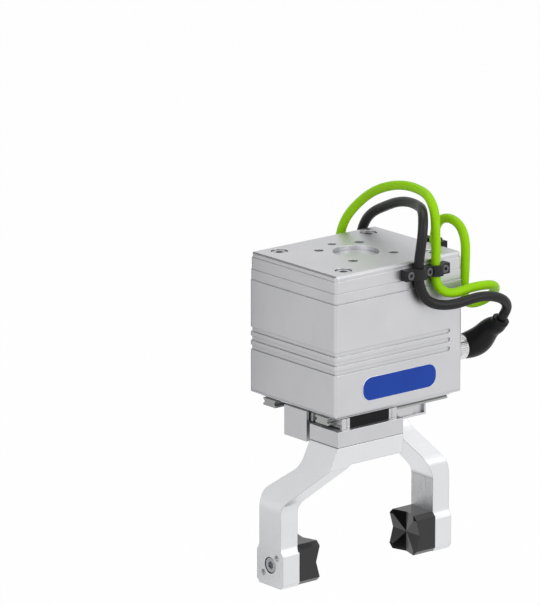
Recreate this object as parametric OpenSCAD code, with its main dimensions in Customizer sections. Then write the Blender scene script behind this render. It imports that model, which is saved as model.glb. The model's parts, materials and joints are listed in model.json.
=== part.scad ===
// Electric two-finger parallel gripper with a long stroke, for a standard tool flange.
// Frame: origin at the centre of the top mounting face, +Z up, fingers down.
// X is the jaw travel, and the badge is on the -Y face. The jaws are drawn fully open.

/* [Body] */
// length of the body along the jaw travel
body_l = 110.6; // [100:0.1:130]
// width of the body
body_w = 90; // [84:0.5:110]
// height of the body, from the mounting face to the housing's lower edge
body_h = 97.5; // [92:0.5:120]
// radius of the body's upright edges
corner_r = 2.5; // [2:0.1:4]
// radius of the housing's lower edge
bottom_r = 3; // [1:0.5:4]
// thickness of the adapter plate on top
adapter_h = 11.7; // [9:0.1:14]
// height of the adapter plate's narrower upper step
step_h = 3.6; // [2:0.1:5]
// how far each step of the upper body stands back
step_inset = 0.5; // [0.2:0.1:1]
// thickness of the housing cover
cover_h = 6.8; // [5:0.1:9]
// thickness of the gasket under the cover
gasket_h = 0.6; // [0.3:0.1:1]
// length of the hollow inside the housing
cavity_l = 90; // [84:1:94]
// width of the hollow inside the housing
cavity_w = 70; // [64:1:74]

/* [Grooves and badge] */
// number of grooves round the housing
groove_n = 3; // [1:1:4]
// height of one groove
groove_h = 3.3; // [2:0.1:4]
// depth of one groove
groove_d = 1; // [0.4:0.1:1.5]
// distance from one groove to the next
groove_pitch = 6.2; // [5:0.1:8]
// height of the lowest groove's lower edge above the housing's lower edge
groove_z = 30.3; // [28:0.1:40]
// length of a groove's plain end on the badge face
groove_stop = 12.4; // [8:0.1:20]
// length of the badge
badge_l = 64; // [40:1:80]
// height of the badge
badge_h = 16; // [10:0.5:20]
// corner radius of the badge
badge_r = 7; // [2:0.5:7]
// height of the badge's centre above the housing's lower edge
badge_z = 16.6; // [12:0.1:18]

/* [Mounting flange] */
// bolt circle of the mounting flange
flange_pcd = 50; // [40:0.5:63]
// radius of a flange bolt hole
flange_hole_r = 3.3; // [2.7:0.1:4.5]
// radius of the centring recess
centring_r = 15.75; // [10:0.05:16]
// depth of the centring recess
centring_d = 3; // [2:0.5:5]
// radius of the locating dowel's hole
dowel_r = 3; // [2:0.5:4]

/* [Jaws] */
// travel of each jaw
stroke = 42.5; // [30:0.5:42.5]
// length of a base jaw
jaw_l = 56.7; // [54:0.1:58]
// width of a base jaw
jaw_w = 29.3; // [28:0.1:30]
// thickness of a base jaw
jaw_h = 10.7; // [9:0.1:12]
// gap between a base jaw and the end of the body, fully open
jaw_end_gap = 2.7; // [2:0.1:4]
// length of a carriage with its end caps
carriage_l = 48; // [44:0.5:50]
// width of a carriage
carriage_w = 25; // [24:0.5:26]
// thickness of a carriage's end cap
cap_t = 4.2; // [3:0.1:6]
// length of the dark panel on a carriage
panel_l = 33.8; // [25:0.1:38]

/* [Fingers and pads] */
// thickness of the finger's flange
flange_t = 13.1; // [10:0.1:16]
// thickness of a finger's leg along X
leg_t = 14.6; // [12:0.1:17]
// width of a finger's leg
leg_w = 22.4; // [18:0.1:26]
// how far the leg steps outwards below the jaw
leg_out = 21.8; // [15:0.1:26]
// height of the outward slope
leg_slope_h = 44.8; // [35:0.1:50]
// height of the finger from the base jaw to the foot's end
finger_h = 101.7; // [95:0.1:115]
// width of a finger's foot
foot_w = 27.2; // [24:0.1:30]
// height of a finger's foot
foot_h = 23.2; // [22:0.1:30]
// side of a pad
pad_w = 28; // [24:0.5:30]
// thickness of a pad
pad_t = 16.9; // [12:0.1:18.5]
// depth of the pad's crossed grooves
vee_d = 3; // [1:0.1:4]
// half width of the pad's crossed grooves
vee_w = 10.5; // [6:0.5:11]
// chamfer on the pad's edges
pad_chamfer = 3; // [1:0.1:3]

/* [Drive] */
// tooth module of the racks and their pinion
rack_module = 1; // [1:0.25:1]
// teeth of the pinion between the racks, even
pinion_teeth = 18; // [18:2:18]
// tooth module of the motor gears
gear_module = 0.8; // [0.8:0.1:0.8]
// teeth of the gear on the motor
motor_teeth = 17; // [17:1:19]
// teeth of the gear on the pinion's shaft
drive_teeth = 40; // [36:4:40]
// tooth play left on each gear and rack
backlash = 0.12; // [0.08:0.01:0.2]
// radius of the pinion's shaft
shaft_r = 3; // [2.5:0.1:3.5]
// radius of the motor
motor_r = 18; // [16:0.5:18]
// length of the motor
motor_l = 44; // [36:1:46]
// radius of the motor's shaft
motor_shaft_r = 2.5; // [2:0.1:3]

/* [Leads] */
// diameter of the power lead
power_d = 6.8; // [5:0.1:7]
// diameter of the green data lead
data_d = 6.3; // [5:0.1:6.5]
// width of the cable clamp's strap
clamp_h = 7.3; // [6:0.1:7.8]

/* [Hidden] */
$fn = 96;

// Clearances: a cut's overrun, a located part in its seat, a running fit, open air round a moving part.
eps = 0.01;
seat = 0.1;
run = 0.05;
air = 0.5;

// Levels, all in Z.
cover_top = -adapter_h;
gasket_top = cover_top - cover_h;
housing_top = gasket_top - gasket_h;
housing_low = -body_h;
base_t = 9;
base_drop = 1.5;
base_low = housing_low - base_drop;
base_top = base_low + base_t;
rail_h = 5;
rail_low = base_low - rail_h;
carriage_top = base_low - 0.6;
carriage_low = base_low - 7.4;
jaw_low = carriage_low - jaw_h;
guide_low = jaw_low - 2.7;

// The lower opening that the base plate sits in, and the base plate in it.
base_l = body_l - 10.6;
base_w = body_w - 10;
base_r = 2;

// Places across the body.
half_l = body_l / 2;
half_w = body_w / 2;
side_y = half_w - step_inset;
side_x = half_l - step_inset;
corner_screw_x = 39;
corner_screw_y = 33;
guide_w = 23;
guide_half_l = half_l - jaw_end_gap;
guide_recess = 0.8;
guide_pocket = 2.4;
rail_y = 27.2;
rail_w = 12.6;
waist_w = 9.8;
jaw_out_y = -rail_y - carriage_w / 2 - 4.6;
jaw_in_y = jaw_out_y + jaw_w;
jaw_x0 = -guide_half_l;
jaw_x1 = jaw_x0 + jaw_l;
carriage_x = (jaw_x0 + jaw_x1) / 2 + 2.7;
carriage_in_y = -rail_y + carriage_w / 2;

// Rack and pinion, in the top of the centre guide.
pinion_r = rack_module * pinion_teeth / 2;
rack_low = base_low - 6.6;
rack_top = base_low - 0.8;
rack_slot_y = pinion_r - rack_module - 0.6;
rack_slot_low = rack_low - air;
rack_reach = 7.2;
rack_x1 = rack_reach;
rack_x0 = -stroke - rack_reach + 0.2;
end_wall = 2.2;

// Motor stage, above the base plate.
gear_low = base_top + 4;
gear_t = 6;
carrier_low = base_top + 14;
carrier_t = 4;
carrier_top = carrier_low + carrier_t;
motor_x = gear_module * (motor_teeth + drive_teeth) / 2;
post_x0 = -16;
post_x1 = 38;
post_y = 18;
bearing_r = 6.5;
bearing_h = 4;

// One size of small screw for the base plate, the rails, the gear carrier and the centre guide.
m3_r = 1.5;
m3_head_r = 2.75;
m3_head_h = 3;
m3_l = 10;
rail_screw_x = 40;
guide_screw_x = 35;
base_screw_x = 42;
base_screw_y = (rail_y + rail_w / 2 + base_w / 2) / 2;

// Larger screws.
m6_r = 3;
m6_head_r = 5;
m6_head_h = 6;
corner_recess_r = 5.8;
top_chamfer = 1.2;
seam = 0.5;
corner_screw_l = 28;

// Finger and pad, below the left base jaw.
flange_low = jaw_low - flange_t;
foot_low = jaw_low - finger_h;
leg_x0 = jaw_x0 - leg_out;
leg_x1 = leg_x0 + leg_t;
slope = leg_out / leg_slope_h;
slope_a = atan(slope);
bend_z = jaw_low - leg_slope_h;
inner_bend_z = bend_z - leg_t * tan(slope_a / 2);
inner_top_x = leg_x1 + slope * (flange_low - inner_bend_z);
pad_z = foot_low + 14.4;
pad_pin = [6.8, 6.3];
pad_pin_r = 2;
pad_pin_l = 12;
pad_screw_l = 18;
pad_screw_seat = 6.5;
arc_steps = 12;

// Sockets and plugs on the +X face: [Y, Z].
power_at = [-27, -72.5];
data_at = [-8, -54];
power_barrel_r = 7;
data_barrel_r = 4.5;
power_nut_r = 8.75;
data_nut_r = 6.75;
flange_t_socket = 1.5;
socket_in = cavity_l / 2 - 0.5;
power_barrel_x = half_l + 9;
data_barrel_x = half_l + 7;
nut_x0 = half_l + flange_t_socket + 0.2;
power_nut_x = half_l + 14.6;
data_nut_x = half_l + 10.5;
elbow_x = data_nut_x + 4;
plug_exit_z = data_at[1] + 13;

// Cable clamps: the strap's outer face, the leads' places along it, and the side clamp's place.
lead_lift = 0.3;
power_clamp = [13.5, -side_y - power_d / 2 - lead_lift];
data_clamp = [28.5, -side_y - data_d / 2 - lead_lift];
clamp_x = [1.2, 39.2];
clamp_out = 8.4;
clamp_low = -adapter_h + 0.3;
clamp_mid = clamp_low + clamp_h / 2;
clamp_screw_x = [5.1, 21.6, 35.2];
side_clamp_h = 13.2;
side_lead = [side_x + data_d / 2 + lead_lift, -12.5];
side_clamp_y = [side_lead[1] - 10.7, side_lead[1] + 10.7];
side_screw_y = [side_lead[1] - 6.8, side_lead[1] + 6.8];
clamp_screw_l = 10;
clamp_seat = clamp_out - 2.6;
clamp_sink = clamp_seat - 2.6;
clamp_hole_d = clamp_screw_l - clamp_sink + 0.3;

// Control board on the -X wall, and details of the jaws.
standoff_l = 4;
board_x = -cavity_l / 2 + standoff_l;
board_t = 1.6;
board_w = 44;
board_h = 50;
board_low = base_top + 10;
rail_gap = 0.15;
wiper_t = 1;
jaw_screw_y = 8.6;
finger_screw_y = 8;
finger_thread = 6;
m2_r = 1;
m2_head_r = 1.9;
power_bulb = [power_nut_x + 10, power_at[0] - 6, power_at[1] + 3.7];
power_bulb_r = 9.4;
power_neck = [power_nut_x + 13, power_at[0] - 16, power_at[1] + 15.5];
power_neck_r = 6.6;

// Routes of the leads.
power_route = [
    [84, -52, -50], [85, -56, -42], [80.5, -59, -36], [69, -60.5, -30.5], [55, -59.5, -29], [41, -57, -31],
    [29, -53.2, -31], [20, -50.2, -27], [15, -49.2, -19], power_at_clamp(-11.6), power_at_clamp(-2),
    [14, -49.3, 8], [15.8, -49, 18], [19, -46, 26.5], [26, -37, 30.5], [35.5, -22.5, 29.5], [42, -6, 28],
    [46, 12, 24], [48.5, 29, 17], [49, 44, 8], [49, 52, -5], [49, 54, -20], [49, 54, -34]];
data_route = [
    [elbow_x, data_at[0], plug_exit_z], [elbow_x, data_at[0], plug_exit_z + 5], [66.5, -9.3, -27],
    [60.7, -11.7, -18.5], data_at_side(-11.6), data_at_side(3), [58.6, -16.7, 14.1], [59.2, -26.9, 18.2],
    [59.9, -37.2, 14.1], [60.3, -41.5, 4], [60.5, -41.5, -8], [60.5, -41, -19], [61.5, -39.3, -29],
    [66, -36, -37], [73.5, -33, -41.5], [81.7, -34.5, -41], [85.5, -41.7, -34.5], [80, -49, -27.5],
    [72.5, -52, -24.8], [60, -53, -23.7], [49, -53.5, -24], [38.5, -52.4, -24.5], [31.3, -50.2, -21],
    data_at_clamp(-11.6), data_at_clamp(-2), [28.5, -48.2, 10], [28.5, -47.7, 20], [29.3, -45.5, 31],
    [31, -38.5, 38.5], [34.5, -26, 41], [36.5, -10, 41], [36.5, 8, 37.5], [35, 24, 30.5], [33, 38, 19.5],
    [31.5, 49, 6], [31, 54, -10], [31, 54, -26]];
connector_l = 40;
connector_r = 7.5;

function power_at_clamp(z) = [power_clamp[0], power_clamp[1], z];
function data_at_clamp(z) = [data_clamp[0], data_clamp[1], z];
function data_at_side(z) = [side_lead[0], side_lead[1], z];

// Shared shapes

// A rectangle with round corners, centred.
module round_rect(l, w, r) {
    square([l - 2 * r, w], center = true);
    square([l, w - 2 * r], center = true);
    for (sx = [-1, 1], sy = [-1, 1])
        translate([sx * (l / 2 - r), sy * (w / 2 - r)]) circle(r);
}

// An upright block with round corners between two levels.
module block(l, w, r, z0, z1) {
    translate([0, 0, z0]) linear_extrude(z1 - z0) round_rect(l, w, r);
}

// A box between two corners.
module box(a, b) {
    translate(a) cube(b - a);
}

// A box between two opposite corners given in any order.
module span_box(a, b) {
    box([for (i = [0:2]) min(a[i], b[i])], [for (i = [0:2]) max(a[i], b[i])]);
}

// A profile drawn in X and Z, extruded along Y.
module along_y(y0, y1) {
    translate([0, y1, 0]) rotate([90, 0, 0]) linear_extrude(y1 - y0) children();
}

// A profile drawn in Y and Z, extruded along X.
module along_x(x0, x1) {
    translate([x0, 0, 0]) rotate([90, 0, 90]) linear_extrude(x1 - x0) children();
}

// A cylinder along X.
module rod_x(r, x0, x1) {
    translate([x0, 0, 0]) rotate([0, 90, 0]) cylinder(r = r, h = x1 - x0);
}

// A socket head screw pointing down, with its head resting on z = 0.
module socket_screw(r, head_r, head_h, l, hex) {
    difference() {
        union() {
            translate([0, 0, -l]) cylinder(r = r, h = l + eps);
            cylinder(r = head_r, h = head_h);
        }
        translate([0, 0, head_h * 0.45]) linear_extrude(head_h) circle(r = hex / sqrt(3), $fn = 6);
    }
}

// The hole for such a screw: shank below z = 0, head room above it.
module screw_hole(r, head_r, l, head_room) {
    translate([0, 0, -l]) cylinder(r = r + run, h = l + eps);
    cylinder(r = head_r + 0.3, h = head_room);
}

// Turns the left jaw into the right one.
module other_side() {
    rotate([0, 0, 180]) children();
}

// Gear teeth

function involute_turn(rb, rho) = let (a = acos(min(1, rb / rho))) tan(a) * 180 / PI - a;
function tooth_half(m, z, rho) = let (r = m * z / 2, rb = r * cos(20))
    (PI * m / 2 - backlash) / (2 * r) * 180 / PI + involute_turn(rb, r)
    - involute_turn(rb, max(rho, rb));
function flank(m, z, steps) = let (r = m * z / 2, r0 = r - 1.25 * m, r1 = r + m)
    [for (i = [0:steps]) let (rho = r0 + (r1 - r0) * i / steps) [rho, tooth_half(m, z, rho)]];
function polar(rho, a) = [rho * cos(a), rho * sin(a)];

// A spur gear with a tooth centred on angle 0.
module gear_2d(m, z) {
    side = flank(m, z, 4);
    polygon([for (k = [0:z - 1]) let (c = k * 360 / z) each concat(
        [for (p = side) polar(p[0], c - p[1])],
        [for (i = [len(side) - 1:-1:0]) polar(side[i][0], c + side[i][1])])]);
}

// A rack with its pitch line on y = 0, teeth towards +y and a tooth centred on x = 0.
module rack_2d(m, x0, x1, back) {
    pitch = PI * m;
    half = pitch / 4 - backlash / 2;
    tip = half - m * tan(20);
    root = half + 1.25 * m * tan(20);
    foot = -1.25 * m;
    polygon(concat([[x1, foot], [x1, -back], [x0, -back], [x0, foot]],
        [for (k = [ceil((x0 + root) / pitch):floor((x1 - root) / pitch)]) let (c = k * pitch)
            each [[c - root, foot], [c - tip, m], [c + tip, m], [c + root, foot]]]));
}

// Lead tubes

function unit(v) = v / norm(v);
function tangent(p, i) = unit(p[min(i + 1, len(p) - 1)] - p[max(i - 1, 0)]);
function square_to(v, t) = unit(v - (v * t) * t);
function side_at(p, i) = i == 0
    ? square_to(abs(tangent(p, 0) * [0, 0, 1]) > 0.9 ? [1, 0, 0] : [0, 0, 1], tangent(p, 0))
    : square_to(side_at(p, i - 1), tangent(p, i));

// One round tube along a route.
module tube(route, d, sides) {
    n = len(route);
    points = [for (i = [0:n - 1]) let (s = side_at(route, i), u = cross(tangent(route, i), s))
        each [for (k = [0:sides - 1]) let (a = k * 360 / sides)
            route[i] + d / 2 * (cos(a) * s + sin(a) * u)]];
    walls = [for (i = [0:n - 2], k = [0:sides - 1]) let (j = (k + 1) % sides)
        [i * sides + k, (i + 1) * sides + k, (i + 1) * sides + j, i * sides + j]];
    ends = [[for (k = [0:sides - 1]) k], [for (k = [sides - 1:-1:0]) (n - 1) * sides + k]];
    polyhedron(points, concat(walls, ends), convexity = 10);
}

// Upper body

// Corner screw places.
module at_corners(x, y) {
    for (sx = [-1, 1], sy = [-1, 1]) translate([sx * x, sy * y, 0]) children();
}

// The adapter plate's upper step, with a chamfer round its top edge.
module top_step() {
    l = body_l - 4 * step_inset;
    w = body_w - 4 * step_inset;
    intersection() {
        block(l, w, corner_r, -step_h, 0);
        along_x(-l, l) top_2d(w / 2);
        along_y(-w, w) top_2d(l / 2);
    }
}

module top_2d(h) {
    c = top_chamfer;
    polygon([[-h, -step_h - 1], [h, -step_h - 1], [h, -c], [h - c, 0], [-h + c, 0], [-h, -c]]);
}

module adapter_plate() {
    color("silver") difference() {
        union() {
            top_step();
            block(body_l - 2 * step_inset, body_w - 2 * step_inset, corner_r, -adapter_h, -step_h);
        }
        at_corners(corner_screw_x, corner_screw_y) {
            translate([0, 0, -adapter_h - eps]) cylinder(r = m6_r + run, h = adapter_h + 1);
            translate([0, 0, -m6_head_h - 0.6]) cylinder(r = corner_recess_r, h = m6_head_h + 1);
        }
        for (a = [45:90:315]) rotate(a) translate([flange_pcd / 2, 0, 0]) {
            translate([0, 0, -adapter_h - eps]) cylinder(r = flange_hole_r, h = adapter_h + 1);
            translate([0, 0, -adapter_h - eps]) cylinder(r = flange_hole_r + 2.2, h = 6.5);
        }
        translate([0, 0, -centring_d]) cylinder(r = centring_r, h = centring_d + 1);
        translate([0, flange_pcd / 2, -8]) cylinder(r = dowel_r, h = 9);
        for (x = clamp_screw_x) translate([x, -side_y, clamp_mid]) rotate([90, 0, 0])
            translate([0, 0, -clamp_hole_d]) cylinder(r = m3_r + run, h = clamp_hole_d + 1);
        for (y = side_screw_y) translate([side_x, y, clamp_mid]) rotate([0, 90, 0])
            translate([0, 0, -clamp_hole_d]) cylinder(r = m3_r + run, h = clamp_hole_d + 1);
    }
}

module housing_cover() {
    color("silver") difference() {
        union() {
            block(body_l - step_inset, body_w - step_inset, corner_r, gasket_top, cover_top);
            block(cavity_l - 32, cavity_w - 2 * seat, corner_r, housing_top - 2, gasket_top + eps);
        }
        at_corners(corner_screw_x, corner_screw_y)
            translate([0, 0, gasket_top - eps]) cylinder(r = m6_r + run, h = cover_h + 1);
    }
}

module cover_gasket() {
    color("dimgray") difference() {
        block(body_l - 3 * step_inset, body_w - 3 * step_inset, corner_r, housing_top, gasket_top);
        block(cavity_l - 30, cavity_w, corner_r, housing_top - 1, gasket_top + 1);
        at_corners(corner_screw_x, corner_screw_y)
            translate([0, 0, housing_top - 1]) cylinder(r = m6_r + run, h = gasket_h + 2);
    }
}

module cover_screws() {
    color("gray") at_corners(corner_screw_x, corner_screw_y)
        translate([0, 0, -m6_head_h - 0.6]) socket_screw(m6_r, m6_head_r, m6_head_h, corner_screw_l, 5);
}

// Housing

// A rectangle whose two lower corners are round.
module lower_round(w, z0, z1, r) {
    translate([-w / 2, z0 + r]) square([w, z1 - z0 - r]);
    translate([-w / 2 + r, z0]) square([w - 2 * r, r + eps]);
    for (s = [-1, 1]) translate([s * (w / 2 - r), z0 + r]) circle(r);
}

module housing_outline() {
    intersection() {
        block(body_l, body_w, corner_r, housing_low, housing_top);
        along_y(-body_w, body_w) lower_round(body_l, housing_low, housing_top, bottom_r);
        along_x(-body_l, body_l) lower_round(body_w, housing_low, housing_top, bottom_r);
    }
}

// Grooves on the -X, -Y and +Y faces, ending short of the +X edge.
module grooves() {
    end_x = half_l - groove_stop;
    for (i = [0:groove_n - 1]) {
        z = housing_low + groove_z + i * groove_pitch;
        difference() {
            translate([0, 0, z]) linear_extrude(groove_h) difference() {
                square([body_l + 2, body_w + 2], center = true);
                round_rect(body_l - 2 * groove_d, body_w - 2 * groove_d, corner_r - groove_d);
            }
            box([end_x, -body_w, z - 1], [body_l, body_w, z + groove_h + 1]);
        }
        for (s = [-1, 1]) translate([end_x, s * half_w, z + groove_h / 2]) rotate([90, 0, 0])
            cylinder(r = groove_h / 2, h = 2 * groove_d, center = true);
    }
}

module housing() {
    color("silver") difference() {
        housing_outline();
        block(cavity_l, cavity_w - 20, 2, base_top, 0);
        block(cavity_l - 30, cavity_w, 2, base_top, 0);
        block(base_l + 2 * seat, base_w + 2 * seat, base_r, housing_low - 1, base_top);
        grooves();
        badge_shape(seat, 1.2, eps);
        at_corners(corner_screw_x, corner_screw_y)
            translate([0, 0, -m6_head_h - 0.6 - corner_screw_l - 1]) cylinder(r = m6_r + run, h = 40);
        at_corners(base_screw_x, base_screw_y)
            translate([0, 0, base_top - eps]) cylinder(r = m3_r + run, h = m3_l);
        at_socket(power_at) rod_x(power_barrel_r + run, 0, body_l);
        at_socket(data_at) rod_x(data_barrel_r + run, 0, body_l);
        for (y = [-1, 1], z = [0, 1]) translate([-cavity_l / 2, y * board_w / 2 - y * 3,
            board_low + 3 + z * (board_h - 6)]) rod_x(1.5 + run, -3, 1);
    }
}

// The badge's plate or its seat: grown by g, sunk d into the face and standing out by o.
module badge_shape(g, d, o) {
    along_y(-half_w - o, -half_w + d) translate([0, housing_low + badge_z])
        round_rect(badge_l + 2 * g, badge_h + 2 * g, badge_r);
}

module badge() {
    color("royalblue") badge_shape(0, 1.2, 0.3);
}

// Base plate, rails and centre guide

// Places of the small screws that come up from below, as [x, y].
module at_base_screws() {
    at_corners(base_screw_x, base_screw_y) children();
    at_posts() children();
}

module at_posts() {
    for (x = [post_x0, post_x1], s = [-1, 1]) translate([x, s * post_y, 0]) children();
}

module at_rail_screws() {
    for (s = [-1, 1], x = [-rail_screw_x, 0, rail_screw_x]) translate([x, s * rail_y, 0]) children();
}

module base_plate() {
    color("silver") difference() {
        block(base_l, base_w, base_r, base_low, base_top);
        at_base_screws() translate([0, 0, base_low + m3_head_h + 0.3]) mirror([0, 0, 1])
            screw_hole(m3_r, m3_head_r, m3_l, m3_head_h + 1);
        at_rail_screws() translate([0, 0, base_low - 1]) cylinder(r = m3_r + run, h = base_t + 2);
        for (s = [-1, 1]) translate([s * guide_screw_x, 0, base_top - m3_head_h - 0.3])
            screw_hole(m3_r, m3_head_r, m3_l, m3_head_h + 1);
        translate([0, 0, base_low + 2]) cylinder(r = bearing_r + run, h = base_t);
        translate([0, 0, base_low - 1]) cylinder(r = shaft_r + 1, h = base_t);
    }
}

// The rail's section, grown by g: a waist holds the carriage up.
module rail_2d(g) {
    wide = rail_w / 2 + g;
    waist = waist_w / 2 + g;
    polygon(concat([for (p = [[wide, 0], [wide, 0.8 + g], [waist, 1.8 + g], [waist, 2.8 - g],
            [wide, 3.8 - g], [wide, rail_h + g]]) [p[0], -p[1]]],
        [for (p = [[wide, rail_h + g], [wide, 3.8 - g], [waist, 2.8 - g], [waist, 1.8 + g],
            [wide, 0.8 + g], [wide, 0]]) [-p[0], -p[1]]]));
}

module guide_rails() {
    color("gainsboro") for (s = [-1, 1]) difference() {
        along_x(-guide_half_l, guide_half_l) translate([s * rail_y, base_low]) rail_2d(0);
        at_rail_screws() translate([0, 0, rail_low + m3_head_h + 0.4]) mirror([0, 0, 1])
            screw_hole(m3_r, m3_head_r, m3_l, m3_head_h + 1);
    }
}

module m3_screw() {
    socket_screw(m3_r, m3_head_r, m3_head_h, m3_l, 2.5);
}

module m3_screws() {
    color("dimgray") {
        at_base_screws() translate([0, 0, base_low + m3_head_h + 0.3]) mirror([0, 0, 1]) m3_screw();
        at_rail_screws() translate([0, 0, rail_low + m3_head_h + 0.4]) mirror([0, 0, 1]) m3_screw();
        for (s = [-1, 1]) translate([s * guide_screw_x, 0, base_top - m3_head_h - 0.3]) m3_screw();
    }
}

// The fixed rib between the jaws: it holds the pinion, and the racks run along its sides.
module centre_guide() {
    bearing_low = rack_slot_low - 3 - bearing_h;
    color("silver") difference() {
        box([-guide_half_l, -guide_w / 2, guide_low], [guide_half_l, guide_w / 2, base_low]);
        for (s = [-1, 1]) {
            span_box([-guide_half_l + end_wall, s * rack_slot_y, rack_slot_low],
                [guide_half_l - end_wall, s * guide_w, base_low + 1]);
            span_box([s * 20, -s * (guide_w / 2 - guide_recess), guide_low + 1.3],
                [s * (guide_half_l - 10), -s * guide_w, guide_low + 9]);
            span_box([s * (guide_half_l - 10.9), -s * (guide_w / 2 - guide_pocket), guide_low + 1.3],
                [s * (guide_half_l - 1.3), -s * guide_w, guide_low + 9]);
            translate([s * guide_screw_x, 0, base_low - m3_l]) cylinder(r = m3_r + run, h = m3_l + 1);
        }
        translate([0, 0, rack_slot_low]) cylinder(r = pinion_r + rack_module + air, h = 20);
        translate([0, 0, bearing_low]) cylinder(r = bearing_r + run, h = bearing_h + 10);
        translate([0, 0, bearing_low - 1]) cylinder(r = shaft_r + 1, h = 20);
    }
}

// Drive

module pinion_bearings() {
    color("lightgray") for (z = [base_low + 2, carrier_low, rack_slot_low - 3 - bearing_h])
        translate([0, 0, z]) difference() {
            cylinder(r = bearing_r, h = bearing_h);
            translate([0, 0, -1]) cylinder(r = shaft_r + run, h = bearing_h + 2);
        }
}

module pinion_shaft() {
    low = rack_slot_low - 3 - bearing_h;
    color("lightgray") translate([0, 0, low]) cylinder(r = shaft_r, h = carrier_top - low);
}

module pinion() {
    color("gray") translate([0, 0, rack_low]) linear_extrude(rack_top - rack_low) difference() {
        gear_2d(rack_module, pinion_teeth);
        circle(shaft_r);
    }
}

module drive_gear() {
    color("gray") translate([0, 0, gear_low]) linear_extrude(gear_t) difference() {
        gear_2d(gear_module, drive_teeth);
        circle(shaft_r);
    }
}

module motor_gear() {
    color("darkgoldenrod") translate([motor_x, 0, gear_low - 1]) linear_extrude(gear_t + 2) difference() {
        rotate(180 + 180 / motor_teeth) gear_2d(gear_module, motor_teeth);
        circle(motor_shaft_r);
    }
}

module motor_rotor() {
    color("gray") translate([motor_x, 0, 0]) {
        translate([0, 0, gear_low - 1]) cylinder(r = motor_shaft_r, h = carrier_top + motor_l - gear_low - 4);
        translate([0, 0, carrier_top + 7]) cylinder(r = motor_r - 6, h = motor_l - 14);
    }
}

module motor_body() {
    color("dimgray") translate([motor_x, 0, carrier_top]) difference() {
        cylinder(r = motor_r, h = motor_l);
        translate([0, 0, 6]) cylinder(r = motor_r - 5, h = motor_l - 12);
        translate([0, 0, -1]) cylinder(r = motor_shaft_r + run, h = motor_l - 2);
        at_motor_screws() translate([0, 0, -1]) cylinder(r = m3_r + run, h = 6);
    }
}

module at_motor_screws() {
    for (a = [45:90:315]) rotate(a) translate([13, 0, 0]) children();
}

module motor_screws() {
    color("dimgray") translate([motor_x, 0, carrier_low]) at_motor_screws() mirror([0, 0, 1])
        socket_screw(m3_r, m3_head_r, 2.4, 8, 2.5);
}

module gear_carrier() {
    color("silver") difference() {
        union() {
            box([post_x0 - 6, -post_y - 6, carrier_low], [post_x1 + 6, post_y + 6, carrier_top]);
            at_posts() translate([0, 0, base_top]) cylinder(r = 4, h = carrier_low - base_top + eps);
        }
        at_posts() translate([0, 0, base_top - eps]) cylinder(r = m3_r + run, h = m3_l);
        translate([0, 0, carrier_low - 1]) cylinder(r = bearing_r + run, h = carrier_t + 2);
        translate([motor_x, 0, carrier_low - 1]) cylinder(r = motor_shaft_r + 1, h = carrier_t + 2);
        translate([motor_x, 0, carrier_low - 1]) at_motor_screws()
            cylinder(r = m3_r + run, h = carrier_t + 2);
    }
}

// Electronics

module at_board_corners() {
    for (y = [-1, 1], z = [0, 1])
        translate([-cavity_l / 2, y * (board_w / 2 - 3), board_low + 3 + z * (board_h - 6)]) children();
}

module control_board() {
    color("seagreen") difference() {
        box([board_x, -board_w / 2, board_low], [board_x + board_t, board_w / 2, board_low + board_h]);
        at_board_corners() rod_x(1.5 + run, 0, 20);
    }
    color("dimgray") {
        box([board_x + board_t, -8, board_low + 18], [board_x + board_t + 2, 8, board_low + 34]);
        for (y = [-14, 14]) translate([board_x + board_t, y, board_low + 40]) rod_x(3.5, 0, 9);
        box([board_x + board_t, -16, board_low + 8], [board_x + board_t + 5, 16, board_low + 13]);
    }
}

// Snap standoffs between the housing's wall and the board.
module board_standoffs() {
    color("ivory") at_board_corners() {
        rod_x(2.6, 0, standoff_l);
        rod_x(1.5, -2.8, standoff_l + board_t + 1.2);
        rod_x(2.2, standoff_l + board_t, standoff_l + board_t + 1);
    }
}

// Moves a part drawn along X to a socket's place.
module at_socket(p) {
    translate([0, p[0], p[1]]) children();
}

module socket(barrel_r, flange_r, x1) {
    rod_x(barrel_r, socket_in, x1);
    rod_x(flange_r, half_l, half_l + flange_t_socket);
}

module power_socket() {
    color("gainsboro") at_socket(power_at) socket(power_barrel_r, power_nut_r + 1.2, power_barrel_x);
}

module data_socket() {
    color("gainsboro") at_socket(data_at) socket(data_barrel_r, data_nut_r + 1, data_barrel_x);
}

// A coupling nut on a socket's barrel: a smooth half, a ring groove, and a half with fine ribs.
module coupling_nut(r, bore_r, x1, ribs) {
    middle = (nut_x0 + x1) / 2;
    difference() {
        rod_x(r, nut_x0, x1);
        rod_x(bore_r + run, nut_x0 - 1, x1 + 1);
        difference() {
            rod_x(r + 1, middle - 0.6, middle);
            rod_x(r - 0.4, nut_x0, x1);
        }
        for (k = [0:ribs - 1]) rotate([k * 360 / ribs, 0, 0]) translate([0, r + 0.15, 0])
            rod_x(0.4, middle - 0.3, x1 - 0.8, $fn = 24);
    }
}

module power_nut() {
    color("silver") at_socket(power_at) coupling_nut(power_nut_r, power_barrel_r, power_nut_x, 36);
}

module data_nut() {
    color("silver") at_socket(data_at) coupling_nut(data_nut_r, data_barrel_r, data_nut_x, 28);
}

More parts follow.
